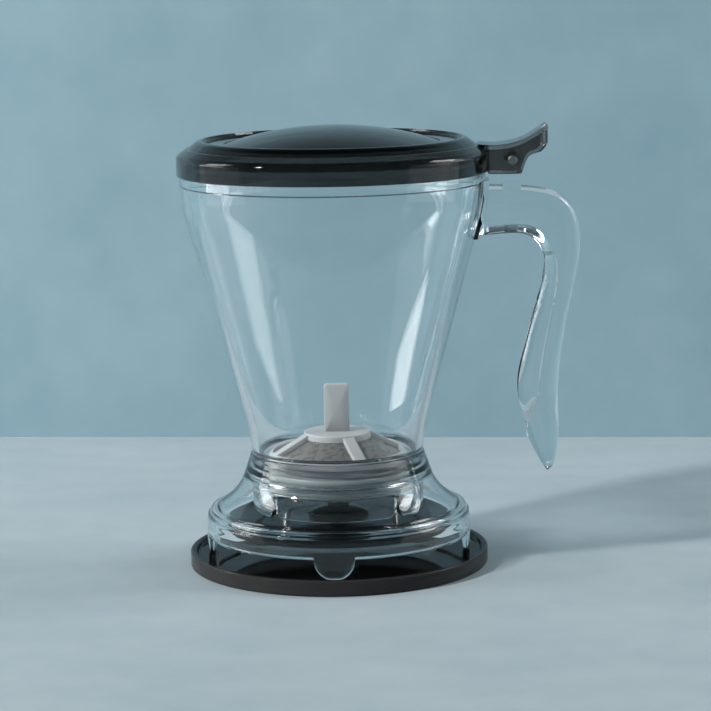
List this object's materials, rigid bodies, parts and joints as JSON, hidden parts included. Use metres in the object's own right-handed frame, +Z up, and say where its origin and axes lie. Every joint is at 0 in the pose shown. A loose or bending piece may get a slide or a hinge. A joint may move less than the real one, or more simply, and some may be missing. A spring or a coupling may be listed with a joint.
{
  "type": "iced tea maker",
  "caption": "Clear funnel-shaped iced tea maker that empties through its base onto a cup, with a hinged smoke lid, side handle, lift-out filter and round drip coaster.",
  "frame": {"origin": "centre of the coaster's underside, on the jug's axis", "axes": "+Z up along the jug's axis, +X from the axis to the handle, +Y to the back; the front faces -Y"},
  "size_m": [0.1673, 0.1296, 0.185],
  "materials": {
    "clear_plastic": "polished clear copolyester",
    "smoke_plastic": "polished smoke-tinted translucent",
    "black_plastic": "glossy black",
    "grey_plastic": "satin warm grey",
    "frosted_plastic": "translucent grey",
    "mesh": "fine woven mesh",
    "steel": "stainless",
    "silicone": "natural silicone",
    "grey_silicone": "grey silicone",
    "acetal": "natural acetal"
  },
  "bodies": {
    "coaster": {"coaster_tray": "black_plastic"},
    "pot": {"base_skirt": "clear_plastic", "drip_sleeve": "clear_plastic", "collar_seal": "silicone", "vessel": "clear_plastic", "handle": "clear_plastic", "hinge_pin": "steel", "valve_cup": "frosted_plastic", "cup_gasket": "silicone", "stem_bush": "acetal", "return_spring": "steel"},
    "lid": {"lid": "smoke_plastic"},
    "valve": {"stopper": "silicone", "stopper_washer": "steel", "valve_stem": "steel", "release_hub": "black_plastic", "release_plate": "black_plastic", "stem_nut": "steel"},
    "filter": {"filter_frame": "grey_plastic", "filter_mesh": "mesh", "filter_seal": "grey_silicone"}
  },
  "joints": [
    {"name": "pot_lift", "type": "slide", "parent": "coaster", "child": "pot", "axis": [0, 0, 1], "range_m": [0, 0.15]},
    {"name": "lid_hinge", "type": "hinge", "parent": "pot", "child": "lid", "pos_m": [0.0746, 0, 0.1701], "axis": [0, 1, 0], "range_deg": [0, 68]},
    {"name": "valve_press", "type": "slide", "parent": "pot", "child": "valve", "axis": [0, 0, 1], "range_m": [0, 0.0038], "stiffness_N_per_m": 300, "springref_m": -0.003, "deforming": ["return_spring"]},
    {"name": "filter_lift", "type": "slide", "parent": "pot", "child": "filter", "axis": [0, 0, 1], "range_m": [0, 0.08]}
  ]
}
